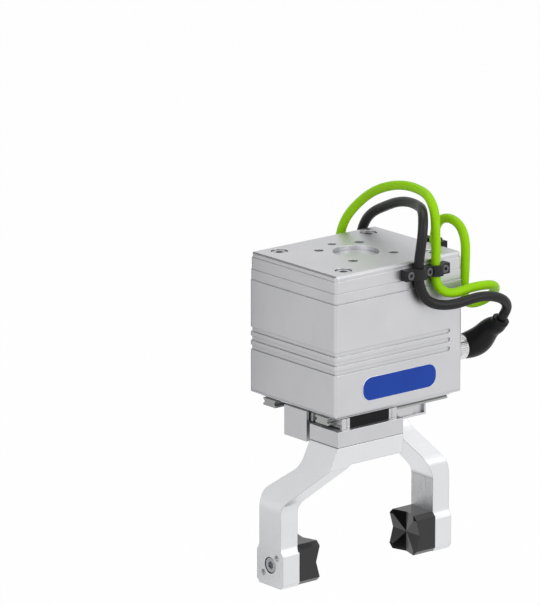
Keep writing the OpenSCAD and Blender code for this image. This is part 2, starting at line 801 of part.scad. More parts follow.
// The moulded power plug: a core in the nut, a bulb, a neck that points forward and up, and a collar.
module power_plug() {
    exit = power_route[0];
    out = power_route[1] - exit;
    color("black") {
        at_socket(power_at) rod_x(power_barrel_r, power_barrel_x, power_nut_x + 2);
        difference() {
            hull() {
                at_socket(power_at) rod_x(power_nut_r - 0.4, power_nut_x, power_nut_x + 2, $fn = 32);
                translate(power_bulb) sphere(r = power_bulb_r, $fn = 32);
            }
            at_socket(power_at) rod_x(3 * power_nut_r, nut_x0, power_nut_x);
        }
        difference() {
            hull() {
                translate(power_bulb) sphere(r = power_bulb_r - 0.1, $fn = 32);
                translate(power_neck) sphere(r = power_neck_r, $fn = 32);
            }
            at_socket(power_at) rod_x(3 * power_nut_r, nut_x0, power_nut_x);
        }
        hull() {
            translate(power_neck) sphere(r = power_neck_r - 0.1, $fn = 32);
            translate(exit) toward(out) translate([0, 0, -3]) cylinder(r = power_d / 2 + 2, h = 1, $fn = 32);
        }
        translate(exit) toward(out) translate([0, 0, -3.5]) cylinder(r = power_d / 2 + 2.8, h = 3.5);
    }
}

// Turns the Z axis to a direction.
module toward(v) {
    u = unit(v);
    rotate([0, acos(u[2]), atan2(u[1], u[0])]) children();
}

// The data plug: an elbow that looks up.
module data_plug() {
    color("black") at_socket(data_at) {
        rod_x(data_barrel_r, data_barrel_x, elbow_x);
        rod_x(data_nut_r - 0.6, data_nut_x, elbow_x);
        difference() {
            translate([elbow_x, 0, 0]) {
                sphere(r = data_nut_r - 0.6);
                cylinder(r1 = data_nut_r - 0.6, r2 = data_d / 2 + 1, h = plug_exit_z - data_at[1]);
            }
            rod_x(data_nut_r, nut_x0, data_nut_x);
        }
    }
}

// Cable clamps

// A strap's section across its leads: round backs over the leads, feet for the screws.
module strap_2d(x0, x1, leads) {
    difference() {
        union() {
            translate([x0, 0]) square([x1 - x0, clamp_seat]);
            for (p = leads) translate([p[0], p[1] / 2 + lead_lift]) circle(p[1] / 2 + 2.4);
        }
        for (p = leads) {
            translate([p[0], p[1] / 2 + lead_lift]) circle(p[1] / 2 + run);
            translate([p[0] - p[1] / 2 - run, -10]) square([p[1] + 2 * run, 10 + p[1] / 2 + lead_lift]);
        }
        translate([x0 - 10, -10]) square([x1 - x0 + 20, 10]);
    }
}

module cable_clamp() {
    color("dimgray") difference() {
        translate([0, -side_y, clamp_low]) mirror([0, 1, 0]) linear_extrude(clamp_h)
            strap_2d(clamp_x[0], clamp_x[1], [[power_clamp[0], power_d], [data_clamp[0], data_d]]);
        for (x = clamp_screw_x) translate([x, -side_y - clamp_sink, clamp_mid]) rotate([90, 0, 0])
            screw_hole(m3_r, m3_head_r, clamp_screw_l, 10);
    }
}

module side_clamp() {
    color("dimgray") difference() {
        translate([side_x, 0, clamp_low]) rotate([0, 0, -90]) mirror([1, 0, 0])
            linear_extrude(side_clamp_h) strap_2d(side_clamp_y[0], side_clamp_y[1], [[side_lead[1], data_d]]);
        for (y = side_screw_y) translate([side_x + clamp_sink, y, clamp_mid]) rotate([0, 90, 0])
            screw_hole(m3_r, m3_head_r, clamp_screw_l, 10);
    }
}

module clamp_screws() {
    color("dimgray") {
        for (x = clamp_screw_x) translate([x, -side_y - clamp_sink, clamp_mid]) rotate([90, 0, 0])
            socket_screw(m3_r, m3_head_r, m3_head_h, clamp_screw_l, 2.5);
        for (y = side_screw_y) translate([side_x + clamp_sink, y, clamp_mid]) rotate([0, 90, 0])
            socket_screw(m3_r, m3_head_r, m3_head_h, clamp_screw_l, 2.5);
    }
}

// Leads

module power_lead() {
    color("dimgray") tube(power_route, power_d, 12);
}

module data_lead() {
    color("yellowgreen") tube(data_route, data_d, 12);
}

// An in-line connector that hangs from a lead's end.
module hanging_connector(route, d) {
    translate(route[len(route) - 1]) mirror([0, 0, 1]) {
        cylinder(r1 = d / 2 + 1, r2 = connector_r - 1, h = 12);
        translate([0, 0, 12 - eps]) cylinder(r = connector_r - 1, h = 8);
        translate([0, 0, 20 - 2 * eps]) cylinder(r = connector_r, h = connector_l - 20);
    }
}

module power_connector() {
    color("black") hanging_connector(power_route, power_d);
}

module data_connector() {
    color("black") hanging_connector(data_route, data_d);
}

// Left jaw

// The channel that runs on the rail.
module rail_channel() {
    along_x(-body_l, body_l) translate([-rail_y, base_low]) {
        rail_2d(rail_gap);
        translate([-rail_w / 2 - rail_gap, -0.4]) square([rail_w + 2 * rail_gap, 1]);
    }
}

module carriage_block(x0, x1) {
    difference() {
        box([x0, -rail_y - carriage_w / 2, carriage_low], [x1, carriage_in_y, carriage_top]);
        rail_channel();
    }
}

module carriage() {
    x0 = carriage_x - carriage_l / 2 + cap_t + 0.4;
    x1 = carriage_x + carriage_l / 2 - cap_t - 0.4;
    color("gainsboro") difference() {
        carriage_block(x0, x1);
        panel_shape(seat);
        at_jaw_screws() screw_hole(m3_r, m3_head_r, m3_l + 0.4, 1);
        at_rack_screws() rotate([90, 0, 0]) translate([0, 0, -4]) cylinder(r = m2_r + run, h = 9);
    }
}

// Two caps at the carriage's ends, each with a peg into the carriage's side.
module end_caps() {
    color("gainsboro") for (s = [-1, 1]) {
        a = carriage_x + s * carriage_l / 2;
        b = a - s * (cap_t + 0.4);
        difference() {
            carriage_block(min(a, b), max(a, b));
            translate([b - s * 0.4, 0, 0]) along_x(min(0, s * 0.8), max(0, s * 0.8)) difference() {
                translate([-body_w, carriage_low - 1]) square([body_w, carriage_top - carriage_low + 2]);
                translate([-rail_y - carriage_w / 2 + 0.5, carriage_low])
                    square([carriage_w, carriage_top - carriage_low - 0.5]);
            }
        }
    }
}

// Rubber wipers on the caps' outer faces.
module wipers() {
    color("black") for (s = [-1, 1]) {
        a = carriage_x + s * carriage_l / 2;
        b = a + s * wiper_t;
        difference() {
            box([min(a, b), -rail_y - carriage_w / 2 + 0.4, carriage_low],
                [max(a, b), carriage_in_y - 0.4, carriage_low + 2.2]);
            rail_channel();
        }
    }
}

module panel_shape(g) {
    y0 = -rail_y - carriage_w / 2;
    box([carriage_x - panel_l / 2 - g, y0 - 0.2, carriage_low - 1],
        [carriage_x + panel_l / 2 + g, y0 + 1 + g, carriage_top + 1]);
}

module panel() {
    y0 = -rail_y - carriage_w / 2;
    color("black") box([carriage_x - panel_l / 2, y0 - 0.2, carriage_low + seat],
        [carriage_x + panel_l / 2, y0 + 1 + seat, carriage_top]);
}

// Screws that hold the base jaw on the carriage, from below.
module at_jaw_screws() {
    for (x = [-16, 16], y = [-1, 1])
        translate([carriage_x + x, -rail_y + y * jaw_screw_y, jaw_low + m3_head_h + 0.3])
            mirror([0, 0, 1]) children();
}

// Screws that hold the finger on the base jaw, from below.
module at_finger_screws() {
    for (x = [-8, 8], y = [-1, 1])
        translate([carriage_x + x, -rail_y + y * finger_screw_y, jaw_low + finger_thread - m3_l])
            mirror([0, 0, 1]) children();
}

module base_jaw() {
    color("silver") difference() {
        box([jaw_x0, jaw_out_y, jaw_low], [jaw_x1, jaw_in_y, carriage_low]);
        at_jaw_screws() screw_hole(m3_r, m3_head_r, m3_l, m3_head_h + 1);
        at_finger_screws() screw_hole(m3_r, m3_head_r, m3_l + 0.5, 1);
    }
}

module jaw_screws() {
    color("dimgray") {
        at_jaw_screws() m3_screw();
        at_finger_screws() m3_screw();
    }
}

module at_rack_screws() {
    for (x = [carriage_x - 13, carriage_x + 9])
        translate([x, carriage_in_y, (rack_low + rack_top) / 2]) children();
}

// The rack on the carriage's inner side, with its teeth towards the centre.
module rack() {
    back = -pinion_r - carriage_in_y;
    color("gray") difference() {
        translate([0, -pinion_r, rack_low]) linear_extrude(rack_top - rack_low)
            rack_2d(rack_module, rack_x0, rack_x1, back);
        at_rack_screws() rotate([90, 0, 0]) translate([0, 0, -10]) {
            cylinder(r = m2_r + run, h = 11);
            cylinder(r = m2_head_r + 0.2, h = 10 - back + 1.25 * rack_module + 2);
        }
    }
}

module rack_screws() {
    back = -pinion_r - carriage_in_y;
    seat_y = back - 1.25 * rack_module - 2;
    color("dimgray") at_rack_screws() translate([0, seat_y, 0]) rotate([-90, 0, 0])
        socket_screw(m2_r, m2_head_r, 1.8, seat_y + 4, 1.5);
}

// Finger

// Points of the arc that rounds the corner b of the path a, b, c.
function arc_round(a, b, c, r) =
    let (u = unit(a - b), v = unit(c - b), half = acos(u * v) / 2, t = r / tan(half),
        centre = b + unit(u + v) * r / sin(half), p = b + u * t - centre, q = b + v * t - centre,
        from = atan2(p[1], p[0]), turn = atan2(p[0] * q[1] - p[1] * q[0], p * q))
    [for (i = [0:arc_steps]) let (a = from + turn * i / arc_steps) centre + r * [cos(a), sin(a)]];

// The finger seen along Y: flange, outward slope and leg.
module finger_front_2d() {
    inner = [[jaw_x1, flange_low], [inner_top_x, flange_low], [leg_x1, inner_bend_z], [leg_x1, foot_low]];
    outer = [[leg_x0, foot_low], [leg_x0, bend_z], [jaw_x0, jaw_low]];
    polygon(concat([inner[0]], arc_round(inner[0], inner[1], inner[2], 4),
        arc_round(inner[1], inner[2], inner[3], 12), [inner[3], outer[0]],
        arc_round(outer[0], outer[1], outer[2], 24), [[jaw_x0 - slope * seam, jaw_low - seam],
        [jaw_x0 + seam, jaw_low], [jaw_x1 - seam, jaw_low], [jaw_x1, jaw_low - seam]]));
}

// The finger seen along X: it leans in from the base jaw to the middle, and widens at the foot.
module finger_side_2d() {
    y0 = jaw_out_y;
    y1 = jaw_in_y - 0.4;
    leg = leg_w / 2;
    foot = foot_w / 2;
    foot_z = foot_low + foot_h;
    neck_z = foot_z + 3.2;
    lean0 = [[y0, jaw_low], [y0, flange_low - 1.8], [-leg, bend_z], [-leg, neck_z]];
    lean1 = [[leg, neck_z], [leg, bend_z + 7.7], [y1, flange_low - 4], [y1, jaw_low]];
    foot0 = [-foot, foot_z];
    foot1 = [foot, foot_z];
    polygon(concat([[y0 + seam, jaw_low], [y0, jaw_low - seam], lean0[1]],
        arc_round(lean0[1], lean0[2], lean0[3], 10), arc_round(lean0[2], lean0[3], foot0, 8),
        [foot0, [-foot, foot_low + 3], [-foot + 2.5, foot_low],
        [foot - 2.5, foot_low], [foot, foot_low + 3], foot1], arc_round(foot1, lean1[0], lean1[1], 8),
        arc_round(lean1[0], lean1[1], lean1[2], 9), arc_round(lean1[1], lean1[2], lean1[3], 12),
        [[y1, jaw_low - seam], [y1 - seam, jaw_low]]));
}

module finger() {
    color("silver") difference() {
        intersection() {
            along_y(-body_w, body_w) finger_front_2d();
            along_x(-body_l - 40, body_l) finger_side_2d();
        }
        at_finger_screws() screw_hole(m3_r, m3_head_r, m3_l, flange_t);
        translate([leg_x0 + pad_screw_seat, 0, pad_z]) rotate([0, -90, 0])
            screw_hole(m6_r, m6_head_r + 0.4, 30, 30);
        at_pad_pins() rod_x(pad_pin_r + run, leg_x0 - 1, leg_x1 + 1);
    }
}

module at_pad_pins() {
    for (s = [-1, 1]) translate([0, -s * pad_pin[0], pad_z + s * pad_pin[1]]) children();
}

module pad_screw() {
    color("dimgray") translate([leg_x0 + pad_screw_seat, 0, pad_z]) rotate([0, -90, 0])
        socket_screw(m6_r, m6_head_r, m6_head_h, pad_screw_l, 5);
}

module pad_pins() {
    color("gray") at_pad_pins() rod_x(pad_pin_r, leg_x1 - pad_pin_l / 2 - 7, leg_x1 + pad_pin_l / 2);
}

// The pad: a block with chamfered edges and two crossed grooves in its face.
module pad() {
    face = leg_x1 + pad_t;
    half = pad_w / 2;
    c = pad_chamfer;
    color("black") difference() {
        translate([0, 0, pad_z]) along_x(leg_x1, face) polygon([[-half + c, -half], [half - c, -half],
            [half, -half + c], [half, half - c], [half - c, half], [-half + c, half],
            [-half, half - c], [-half, -half + c]]);
        along_y(-body_w, body_w)
            polygon([[face + eps, pad_z - vee_w], [face - vee_d, pad_z], [face + eps, pad_z + vee_w]]);
        translate([0, 0, pad_z - body_w]) linear_extrude(2 * body_w)
            polygon([[face + eps, -vee_w], [face - vee_d, 0], [face + eps, vee_w]]);
        translate([0, 0, pad_z]) rod_x(m6_r + run, leg_x0, leg_x0 + pad_screw_seat + pad_screw_l + 0.5);
        at_pad_pins() rod_x(pad_pin_r + run, leg_x1 - 1, leg_x1 + pad_pin_l / 2 + 0.3);
    }
}

adapter_plate();
housing_cover();
cover_gasket();
housing();
base_plate();
guide_rails();
centre_guide();
cover_screws();
m3_screws();
gear_carrier();
motor_body();
motor_screws();
pinion_bearings();
control_board();
board_standoffs();
power_socket();
data_socket();
badge();
cable_clamp();
side_clamp();
clamp_screws();
power_nut();
power_plug();
data_nut();
data_plug();
power_lead();
data_lead();
power_connector();
data_connector();
pinion_shaft();
pinion();
drive_gear();
motor_rotor();
motor_gear();
carriage();  // left_carriage
end_caps();  // left_end_caps
wipers();  // left_wipers
panel();  // left_panel
base_jaw();  // left_base_jaw
jaw_screws();  // left_jaw_screws
rack();  // left_rack
rack_screws();  // left_rack_screws
finger();  // left_finger
pad();  // left_pad
pad_screw();  // left_pad_screw
pad_pins();  // left_pad_pins
other_side() carriage();  // right_carriage
other_side() end_caps();  // right_end_caps
other_side() wipers();  // right_wipers
other_side() panel();  // right_panel
other_side() base_jaw();  // right_base_jaw
other_side() jaw_screws();  // right_jaw_screws
other_side() rack();  // right_rack
other_side() rack_screws();  // right_rack_screws
other_side() finger();  // right_finger
other_side() pad();  // right_pad
other_side() pad_screw();  // right_pad_screw
other_side() pad_pins();  // right_pad_pins
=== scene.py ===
# Looks of an electric parallel gripper: camera, finishes, leads, trim and stage round the CAD frame.
import json
import math

import bpy
import numpy
from mathutils import Matrix, Vector


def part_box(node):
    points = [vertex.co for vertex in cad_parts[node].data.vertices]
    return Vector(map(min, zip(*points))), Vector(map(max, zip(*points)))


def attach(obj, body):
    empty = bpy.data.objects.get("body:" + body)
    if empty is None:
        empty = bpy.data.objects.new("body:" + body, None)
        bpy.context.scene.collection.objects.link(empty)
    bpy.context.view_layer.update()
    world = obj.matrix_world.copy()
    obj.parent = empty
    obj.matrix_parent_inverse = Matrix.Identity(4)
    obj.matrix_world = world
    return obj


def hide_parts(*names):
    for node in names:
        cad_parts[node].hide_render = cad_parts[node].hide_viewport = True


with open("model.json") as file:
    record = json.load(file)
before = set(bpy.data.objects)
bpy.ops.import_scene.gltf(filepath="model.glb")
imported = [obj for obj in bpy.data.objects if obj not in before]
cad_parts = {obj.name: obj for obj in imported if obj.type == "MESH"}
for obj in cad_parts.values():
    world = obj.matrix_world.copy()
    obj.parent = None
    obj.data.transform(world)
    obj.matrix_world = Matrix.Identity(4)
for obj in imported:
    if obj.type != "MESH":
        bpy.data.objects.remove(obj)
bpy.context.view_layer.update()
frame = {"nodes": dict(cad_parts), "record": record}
nodes = frame["nodes"]
MM = 0.001


def in_scene(name, data):
    """A new object in the scene."""
    made = bpy.data.objects.new(name, data)
    bpy.context.scene.collection.objects.link(made)
    return made


# Camera: far away, to the front left of the gripper and a little above it. Lengths in metres.
CAMERA_RIGHT = Vector((0.7705, -0.6370, 0.0)).normalized()
CAMERA_UP = Vector((0.1657, 0.2004, 0.9656)).normalized()
CAMERA_BACK = CAMERA_RIGHT.cross(CAMERA_UP).normalized()
CAMERA_DISTANCE = 4.0
CAMERA_REACH = 40.0
PICTURE_HEIGHT = 0.4033
PICTURE_RIGHT = -0.0574
PICTURE_UP = -0.0342
PICTURE_CENTRE = CAMERA_RIGHT * PICTURE_RIGHT + CAMERA_UP * PICTURE_UP


def add_camera():
    """The camera, with the lens that fits PICTURE_HEIGHT into the picture."""
    data = bpy.data.cameras.new("camera")
    data.sensor_width = 36.0
    data.lens = data.sensor_width * CAMERA_DISTANCE / PICTURE_HEIGHT
    data.clip_end = CAMERA_REACH
    camera = in_scene("camera", data)
    turn = Matrix((CAMERA_RIGHT, CAMERA_UP, CAMERA_BACK)).transposed().to_4x4()
    camera.matrix_world = Matrix.Translation(PICTURE_CENTRE + CAMERA_BACK * CAMERA_DISTANCE) @ turn
    bpy.context.scene.camera = camera


add_camera()
bpy.context.scene.view_settings.view_transform = "Standard"

# Finishes: scales of the noise, and the shares and limits at which one tone gives way to another.
PATCH_SCALE = 35.0
PATCH_LAYERS = 4.0
GRAIN_LAYERS = 3.0
GRAIN_DEPTH = 0.02 * MM
GRAIN_SHARE = 0.35
# The edge constants set a painted tone on rounded edges: a highlight where it is lighter, a dark line where
# it is darker.
EDGE_SHARE = 0.7
EDGE_FACING = (0.75, 0.99)
EDGE_SAMPLES = 6
# The gap constants set painted shade in narrow gaps, found by ambient occlusion.
GAP_SHADE_SHARE = 0.85
GAP_OPENNESS = (0.3, 0.9)
GAP_REACH = 1.6 * MM
GAP_SAMPLES = 8

# The grain: even, drawn out along X as on ground rails, or upwards as on milled fingers.
EVEN = (1.0, 1.0, 1.0)
ALONG_X = (0.05, 1.0, 1.0)
UPWARDS = (1.0, 1.0, 0.06)

# Sockets of a Mix node that mixes colours.
MIX_FIRST = 6
MIX_SECOND = 7
MIX_RESULT = 2


def linked(tree, socket_from, socket_to):
    """Join two sockets of a tree."""
    tree.links.new(socket_from, socket_to)


def node(tree, kind, place, **values):
    """A new node of a tree, at its place in the editor."""
    made = tree.nodes.new(kind)
    made.location = place
    for key, value in values.items():
        setattr(made, key, value)
    return made


def noise(tree, coords, scale, layers, place, stretch=EVEN):
    """A soft random value on the coordinates, finer with a larger scale."""
    mapping = node(tree, "ShaderNodeMapping", (place[0] - 200, place[1]))
    mapping.inputs["Scale"].default_value = stretch
    linked(tree, coords, mapping.inputs["Vector"])
    texture = node(tree, "ShaderNodeTexNoise", place)
    texture.inputs["Scale"].default_value = scale
    texture.inputs["Detail"].default_value = layers
    linked(tree, mapping.outputs["Vector"], texture.inputs["Vector"])
    return texture.outputs["Fac"]


def ramp(tree, fac, low, high, place, limits=(0.3, 0.7)):
    """A value that goes from low to high while the factor goes from one limit to the other."""
    made = node(tree, "ShaderNodeMapRange", place)
    made.inputs["From Min"].default_value = limits[0]
    made.inputs["From Max"].default_value = limits[1]
    made.inputs["To Min"].default_value = low
    made.inputs["To Max"].default_value = high
    linked(tree, fac, made.inputs["Value"])
    return made.outputs["Result"]


def mixed(tree, fac, first, second, place):
    """Two colours mixed by a factor. Each is a socket or a fixed colour."""
    made = node(tree, "ShaderNodeMix", place, data_type="RGBA")
    linked(tree, fac, made.inputs["Factor"])
    for socket, value in ((made.inputs[MIX_FIRST], first), (made.inputs[MIX_SECOND], second)):
        if isinstance(value, bpy.types.NodeSocket):
            linked(tree, value, socket)
        else:
            socket.default_value = (*value, 1.0)
    return made.outputs[MIX_RESULT]


def painted_edge_tone(tree, colour, edge, soft_normal):
    """The colour with a painted tone on its rounded edges: a painted highlight where the edge tone is
    lighter, a dark line where it is darker.
    """
    flat_normal = node(tree, "ShaderNodeNewGeometry", (-1000, -700)).outputs["Normal"]
    facing = node(tree, "ShaderNodeVectorMath", (-600, -600), operation="DOT_PRODUCT")
    linked(tree, soft_normal, facing.inputs[0])
    linked(tree, flat_normal, facing.inputs[1])
    edge_share = ramp(tree, facing.outputs["Value"], EDGE_SHARE, 0.0, (-400, -600), EDGE_FACING)
    return mixed(tree, edge_share, colour, edge, (-200, 300))


def painted_gap_shade(tree, colour, gap):
    """The colour with painted shade in narrow gaps, wherever ambient occlusion finds them closed in."""
    open_sky = node(tree, "ShaderNodeAmbientOcclusion", (-800, 600), samples=GAP_SAMPLES)
    open_sky.inputs["Distance"].default_value = GAP_REACH
    shade_share = ramp(tree, open_sky.outputs["AO"], GAP_SHADE_SHARE, 0.0, (-400, 600), GAP_OPENNESS)
    return mixed(tree, shade_share, colour, gap, (0, 300))


def surface(name, low, high, rough, metallic=0.0, grain=1500.0, stretch=EVEN, bump=0.1, edge=None,
            edge_r=0.5, gap=None, specular=0.5):
    """One finish: two tones in soft patches, and a fine grain in tone, roughness and height.

    Edges are rounded by edge_r millimetres, and may get a painted highlight or dark line in a tone of their
    own; narrow gaps may get painted shade.
    """
    material = bpy.data.materials.new(name)
    material.use_nodes = True
    tree = material.node_tree
    shader = tree.nodes["Principled BSDF"]
    coords = node(tree, "ShaderNodeTexCoord", (-1400, 0)).outputs["Object"]
    patches = noise(tree, coords, PATCH_SCALE, PATCH_LAYERS, (-1000, 300))
    fine = noise(tree, coords, grain, GRAIN_LAYERS, (-1000, -100), stretch)
    colour = mixed(tree, ramp(tree, patches, 0.0, 1.0, (-800, 300)), low, high, (-600, 300))
    colour = mixed(tree, ramp(tree, fine, 0.0, GRAIN_SHARE, (-800, 100)), colour, high, (-400, 300))
    rounded = node(tree, "ShaderNodeBevel", (-800, -500), samples=EDGE_SAMPLES)
    rounded.inputs["Radius"].default_value = edge_r * MM
    soft_normal = rounded.outputs["Normal"]
    if edge is not None:
        colour = painted_edge_tone(tree, colour, edge, soft_normal)
    if gap is not None:
        colour = painted_gap_shade(tree, colour, gap)
    linked(tree, colour, shader.inputs["Base Color"])
    linked(tree, ramp(tree, fine, rough[0], rough[1], (-600, -100)), shader.inputs["Roughness"])
    raised = node(tree, "ShaderNodeBump", (-300, -300))
    raised.inputs["Strength"].default_value = bump
    raised.inputs["Distance"].default_value = GRAIN_DEPTH
    linked(tree, fine, raised.inputs["Height"])
    linked(tree, soft_normal, raised.inputs["Normal"])
    linked(tree, raised.outputs["Normal"], shader.inputs["Normal"])
    shader.inputs["Metallic"].default_value = metallic
    shader.inputs["Specular IOR Level"].default_value = specular
    return material


# In the finishes below, an edge tone lighter than the surface paints a highlight on rounded edges, a darker
# one paints a dark line there, and the body's gap tone paints shade into its grooves and seams.
# Metals
body_satin = surface("body_satin", (0.565, 0.565, 0.585), (0.605, 0.605, 0.625), (0.36, 0.46), metallic=1.0,
                     grain=2600.0, bump=0.12, edge=(0.74, 0.74, 0.76), gap=(0.30, 0.30, 0.31))
finger_milled = surface("finger_milled", (0.73, 0.735, 0.75), (0.76, 0.765, 0.78), (0.27, 0.36), metallic=1.0,
                        grain=1400.0, stretch=UPWARDS, bump=0.03, edge=(0.07, 0.07, 0.08), edge_r=0.55)
ground_steel = surface("ground_steel", (0.36, 0.37, 0.36), (0.43, 0.44, 0.43), (0.22, 0.36), metallic=1.0,
                       grain=900.0, stretch=ALONG_X, bump=0.08, edge=(0.6, 0.6, 0.6), edge_r=0.3)
carriage_steel = surface("carriage_steel", (0.54, 0.54, 0.55), (0.62, 0.62, 0.63), (0.28, 0.40), metallic=1.0,
                         grain=900.0, stretch=ALONG_X, bump=0.08, edge=(0.7, 0.7, 0.72), edge_r=0.3)
screw_zinc = surface("screw_zinc", (0.42, 0.42, 0.44), (0.52, 0.52, 0.54), (0.28, 0.42), metallic=1.0,
                     grain=1200.0, edge=(0.7, 0.7, 0.72), edge_r=0.25)
screw_dark = surface("screw_dark", (0.10, 0.10, 0.105), (0.16, 0.16, 0.165), (0.30, 0.45), metallic=1.0,
                     grain=1200.0, edge=(0.5, 0.5, 0.52), edge_r=0.3)
nut_nickel = surface("nut_nickel", (0.66, 0.66, 0.67), (0.74, 0.74, 0.75), (0.12, 0.20), metallic=1.0,
                     grain=700.0, bump=0.03, edge_r=0.1)
gear_brass = surface("gear_brass", (0.62, 0.46, 0.18), (0.72, 0.56, 0.26), (0.2, 0.34), metallic=1.0,
                     grain=900.0)
rim_silver = surface("rim_silver", (0.62, 0.64, 0.70), (0.70, 0.72, 0.78), (0.2, 0.3), metallic=0.6,
                     grain=1200.0)

# Mouldings, rubbers and coats
plug_moulding = surface("plug_moulding", (0.003, 0.003, 0.004), (0.006, 0.006, 0.007), (0.30, 0.44),
                        grain=1800.0, bump=0.25, edge=(0.016, 0.016, 0.018), specular=0.18)
clamp_moulding = surface("clamp_moulding", (0.014, 0.014, 0.015), (0.021, 0.021, 0.022), (0.42, 0.58),
                         bump=0.3, edge=(0.045, 0.045, 0.048), edge_r=0.6, specular=0.2)
panel_moulding = surface("panel_moulding", (0.004, 0.004, 0.005), (0.007, 0.007, 0.008), (0.30, 0.45),
                         bump=0.2, edge=(0.03, 0.03, 0.03), edge_r=0.3, specular=0.15)
nylon_ivory = surface("nylon_ivory", (0.72, 0.69, 0.60), (0.80, 0.77, 0.68), (0.4, 0.55), grain=1000.0)
pad_rubber = surface("pad_rubber", (0.002, 0.002, 0.0022), (0.004, 0.004, 0.0043), (0.08, 0.15),
                     grain=900.0, bump=0.04, edge=(0.001, 0.001, 0.001), edge_r=0.4, specular=0.55)
wiper_rubber = surface("wiper_rubber", (0.30, 0.30, 0.31), (0.36, 0.36, 0.37), (0.5, 0.7), grain=1400.0)
gasket_rubber = surface("gasket_rubber", (0.70, 0.70, 0.71), (0.78, 0.78, 0.79), (0.6, 0.8), grain=1400.0)
black_jacket = surface("black_jacket", (0.008, 0.008, 0.009), (0.015, 0.015, 0.016), (0.36, 0.5),
                       grain=1200.0, bump=0.2, specular=0.22)
green_jacket = surface("green_jacket", (0.25, 0.56, 0.001), (0.31, 0.64, 0.002), (0.34, 0.48),
                       grain=1200.0, bump=0.2, specular=0.12)
badge_blue = surface("badge_blue", (0.008, 0.046, 0.32), (0.012, 0.056, 0.36), (0.30, 0.40), grain=1600.0,
                     bump=0.08, edge=(0.04, 0.10, 0.42), edge_r=0.3, specular=0.15)
motor_coat = surface("motor_coat", (0.03, 0.03, 0.034), (0.05, 0.05, 0.055), (0.4, 0.55), grain=1200.0,
                     bump=0.3, edge=(0.2, 0.2, 0.2))
board_mask = surface("board_mask", (0.012, 0.13, 0.045), (0.02, 0.19, 0.07), (0.2, 0.35), grain=600.0)
seam_shadow = surface("seam_shadow", (0.02, 0.02, 0.02), (0.04, 0.04, 0.04), (0.6, 0.8), grain=1400.0,
                      specular=0.1)

# The finish of each material slot, and of nodes that differ from their slot, by the end of their name.
SLOT_FINISHES = {
    "body_aluminium": body_satin,
    "finger_aluminium": finger_milled,
    "steel": ground_steel,
    "screw_steel": screw_zinc,
    "nickel": nut_nickel,
    "black_plastic": plug_moulding,
    "clamp_plastic": clamp_moulding,
    "pad_rubber": pad_rubber,
    "wiper_rubber": wiper_rubber,
    "gasket_rubber": gasket_rubber,
    "badge_blue": badge_blue,
    "black_jacket": black_jacket,
    "green_jacket": green_jacket,
    "motor_black": motor_coat,
    "gear_brass": gear_brass,
    "board_green": board_mask,
    "nylon": nylon_ivory,
}
NODE_FINISHES = {
    "_carriage": carriage_steel,
    "_end_caps": carriage_steel,
    "_panel": panel_moulding,
    "clamp_screws": screw_dark,
}


def paint_nodes():
    """Give every CAD node its finish."""
    for part in frame["record"]["subparts"]:
        name = part["node"]
        finish = SLOT_FINISHES[part["material_slot"]]
        for ending, other in NODE_FINISHES.items():
            if name.endswith(ending):
                finish = other
        piece = nodes[name]
        if not piece.material_slots:
            piece.data.materials.append(finish)
        for slot in piece.material_slots:
            slot.material = finish


paint_nodes()

# Leads: the routes of the CAD solids, in millimetres.
POWER_D = 6.8
DATA_D = 6.3
POWER_ROUTE = [
    (84, -52, -50), (85, -56, -42), (80.5, -59, -36), (69, -60.5, -30.5), (55, -59.5, -29), (41, -57, -31),
    (29, -53.2, -31), (20, -50.2, -27), (15, -49.2, -19), (13.5, -48.2, -11.6), (13.5, -48.2, -2),
    (14, -49.3, 8), (15.8, -49, 18), (19, -46, 26.5), (26, -37, 30.5), (35.5, -22.5, 29.5), (42, -6, 28),
    (46, 12, 24), (48.5, 29, 17), (49, 44, 8), (49, 52, -5), (49, 54, -20), (49, 54, -34)]
DATA_ROUTE = [
    (69.8, -8, -41), (69.8, -8, -36), (66.5, -9.3, -27), (60.7, -11.7, -18.5), (58.25, -12.5, -11.6),
    (58.25, -12.5, 3), (58.6, -16.7, 14.1), (59.2, -26.9, 18.2), (59.9, -37.2, 14.1), (60.3, -41.5, 4),
    (60.5, -41.5, -8), (60.5, -41, -19), (61.5, -39.3, -29), (66, -36, -37), (73.5, -33, -41.5),
    (81.7, -34.5, -41), (85.5, -41.7, -34.5), (80, -49, -27.5), (72.5, -52, -24.8), (60, -53, -23.7),
    (49, -53.5, -24), (38.5, -52.4, -24.5), (31.3, -50.2, -21), (28.5, -47.95, -11.6), (28.5, -47.95, -2),
    (28.5, -48.2, 10), (28.5, -47.7, 20), (29.3, -45.5, 31), (31, -38.5, 38.5), (34.5, -26, 41),
    (36.5, -10, 41), (36.5, 8, 37.5), (35, 24, 30.5), (33, 38, 19.5), (31.5, 49, 6), (31, 54, -10),
    (31, 54, -26)]
JACKET_ROUNDNESS = 6
SPLINE_STEPS = 8


def smooth_path(route):
    """Points of one cubic spline through a route, in metres, so that its bends are even.

    A fourth value of the route's points, a radius, is carried along.
    """
    points = numpy.array(route) * MM
    gaps = numpy.linalg.norm(numpy.diff(points[:, :3], axis=0), axis=1)
    last = len(points) - 1
    system = numpy.eye(last + 1)
    turns = numpy.zeros_like(points)
    for i in range(1, last):
        system[i, i - 1:i + 2] = gaps[i - 1], 2 * (gaps[i - 1] + gaps[i]), gaps[i]
        turns[i] = 6 * ((points[i + 1] - points[i]) / gaps[i] - (points[i] - points[i - 1]) / gaps[i - 1])
    bends = numpy.linalg.solve(system, turns)
    path = []
    for i in range(last):
        gap = gaps[i]
        for done in numpy.linspace(0.0, gap, SPLINE_STEPS, endpoint=False):
            ahead = gap - done
            curved = (bends[i] * ahead ** 3 + bends[i + 1] * done ** 3) / (6 * gap)
            straight = ((points[i] / gap - bends[i] * gap / 6) * ahead
                        + (points[i + 1] / gap - bends[i + 1] * gap / 6) * done)
            path.append(Vector(curved + straight))
    return path + [Vector(points[last])]


